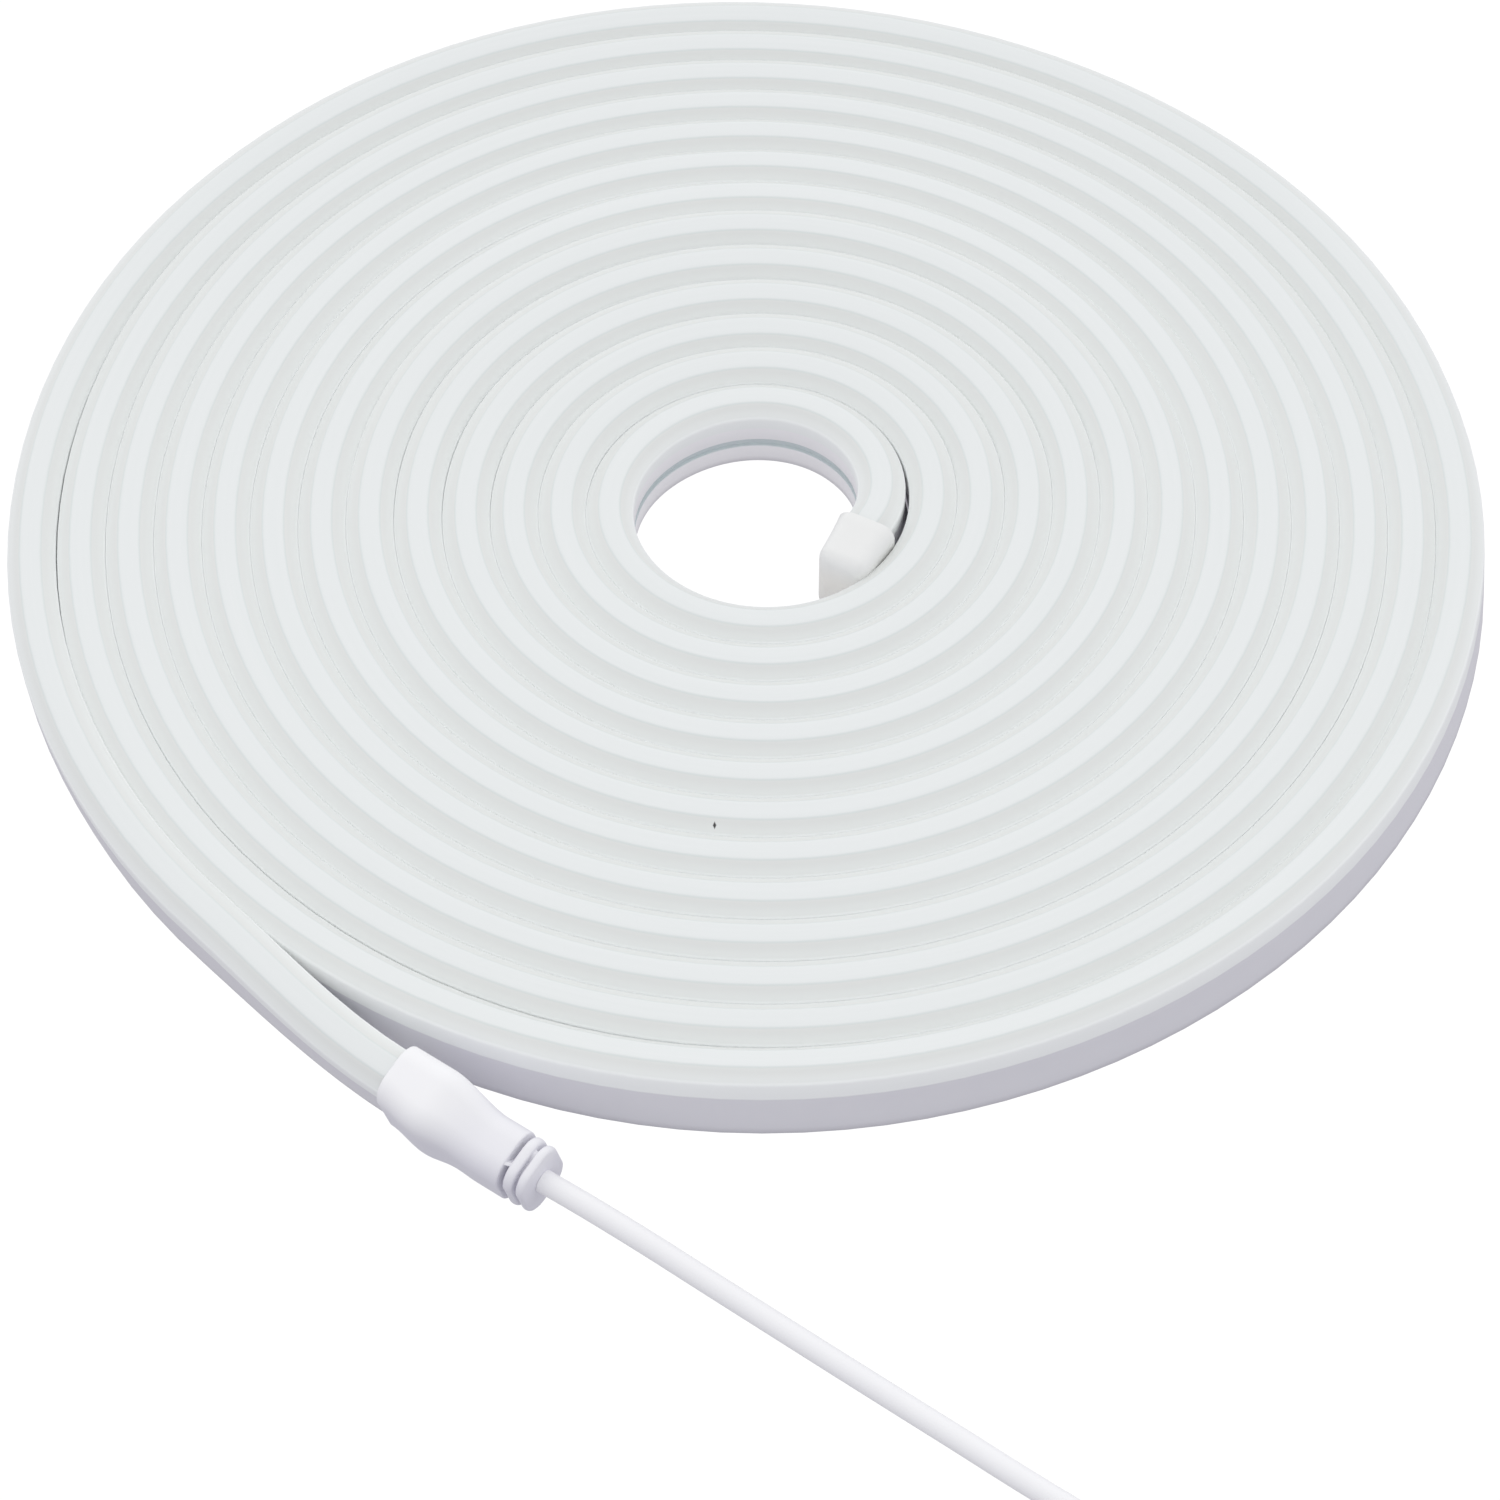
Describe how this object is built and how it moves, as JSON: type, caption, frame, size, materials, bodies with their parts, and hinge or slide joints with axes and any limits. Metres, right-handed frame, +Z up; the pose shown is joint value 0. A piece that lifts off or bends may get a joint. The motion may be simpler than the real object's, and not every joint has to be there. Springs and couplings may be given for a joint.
{
  "type": "led rope light",
  "caption": "Flexible flat-coiled LED rope light with a milky diffuser, an end cap, a moulded power connector with a slotted strain relief, and a mains cord with a plug",
  "frame": {"origin": "On the floor, under the middle of the box round the strip, its cap and its connector", "axes": "+Z up, out of the flat coil. +Y away from the side where the strip leaves the coil. +X to the right"},
  "size_m": [0.4376, 0.6606, 0.0288],
  "materials": {
    "strip": "satin extruded, milky top on an opaque white base",
    "cap": "satin moulded, milky",
    "connector": "satin moulded",
    "cord": "satin cable sheath",
    "plug": "satin moulded",
    "blades": "plated metal"
  },
  "bodies": {
    "root": {"light_strip": "strip", "end_cap": "cap", "power_connector": "connector", "power_cord": "cord", "power_cord_coil": "cord", "power_cord_end": "cord", "plug_body": "plug", "plug_blade_1": "blades", "plug_blade_2": "blades"}
  },
  "joints": []
}
